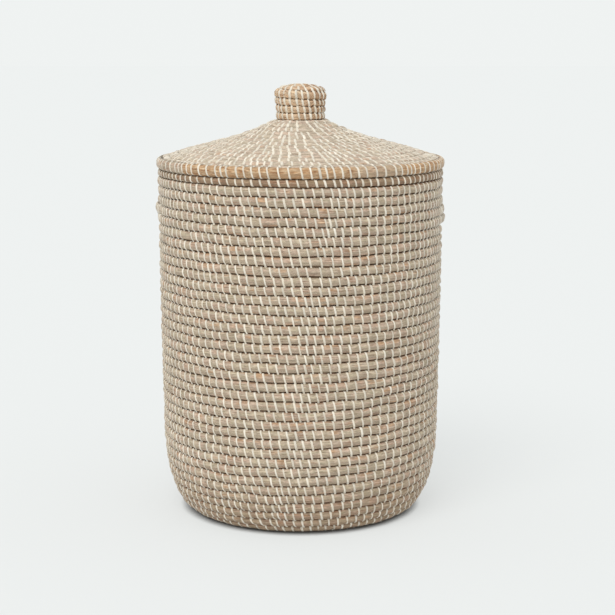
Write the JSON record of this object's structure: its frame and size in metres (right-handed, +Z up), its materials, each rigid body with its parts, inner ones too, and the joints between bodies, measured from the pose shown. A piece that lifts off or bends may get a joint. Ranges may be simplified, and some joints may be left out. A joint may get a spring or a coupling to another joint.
{
  "type": "laundry basket",
  "caption": "Coiled grass laundry basket with side grips and a lift-off conical lid with a coiled knob.",
  "frame": {"origin": "centre of the base, on the floor", "axes": "+Z up through the knob, front faces -Y, one grip on the +X side and one on the -X side, a little behind the middle"},
  "size_m": [0.3904, 0.383, 0.5712],
  "materials": {
    "grass_coil": "dry twisted grass, matte",
    "tan_grass_coil": "smoother tan grass, faint sheen",
    "wrap_strip": "pale flat strip, matte"
  },
  "bodies": {
    "basket": {"rim_coil": "grass_coil", "upper_wall_coil": "grass_coil", "grip_band_coil": "grass_coil", "lower_wall_coil": "grass_coil", "heel_coil": "grass_coil", "base_coil": "grass_coil", "base_start_coil": "grass_coil", "right_handle": "grass_coil", "right_handle_front_wrap": "wrap_strip", "right_handle_back_wrap": "wrap_strip", "left_handle": "grass_coil", "left_handle_front_wrap": "wrap_strip", "left_handle_back_wrap": "wrap_strip"},
    "lid": {"lid_edge_coil": "tan_grass_coil", "lid_coil": "grass_coil", "lid_start_coil": "grass_coil", "lid_locating_ring": "grass_coil", "knob_coil": "grass_coil", "knob_core": "grass_coil", "knob_top_coil": "grass_coil"}
  },
  "joints": [
    {"name": "lid_lift", "type": "slide", "parent": "basket", "child": "lid", "axis": [0, 0, 1], "range_m": [0, 0.25]}
  ]
}
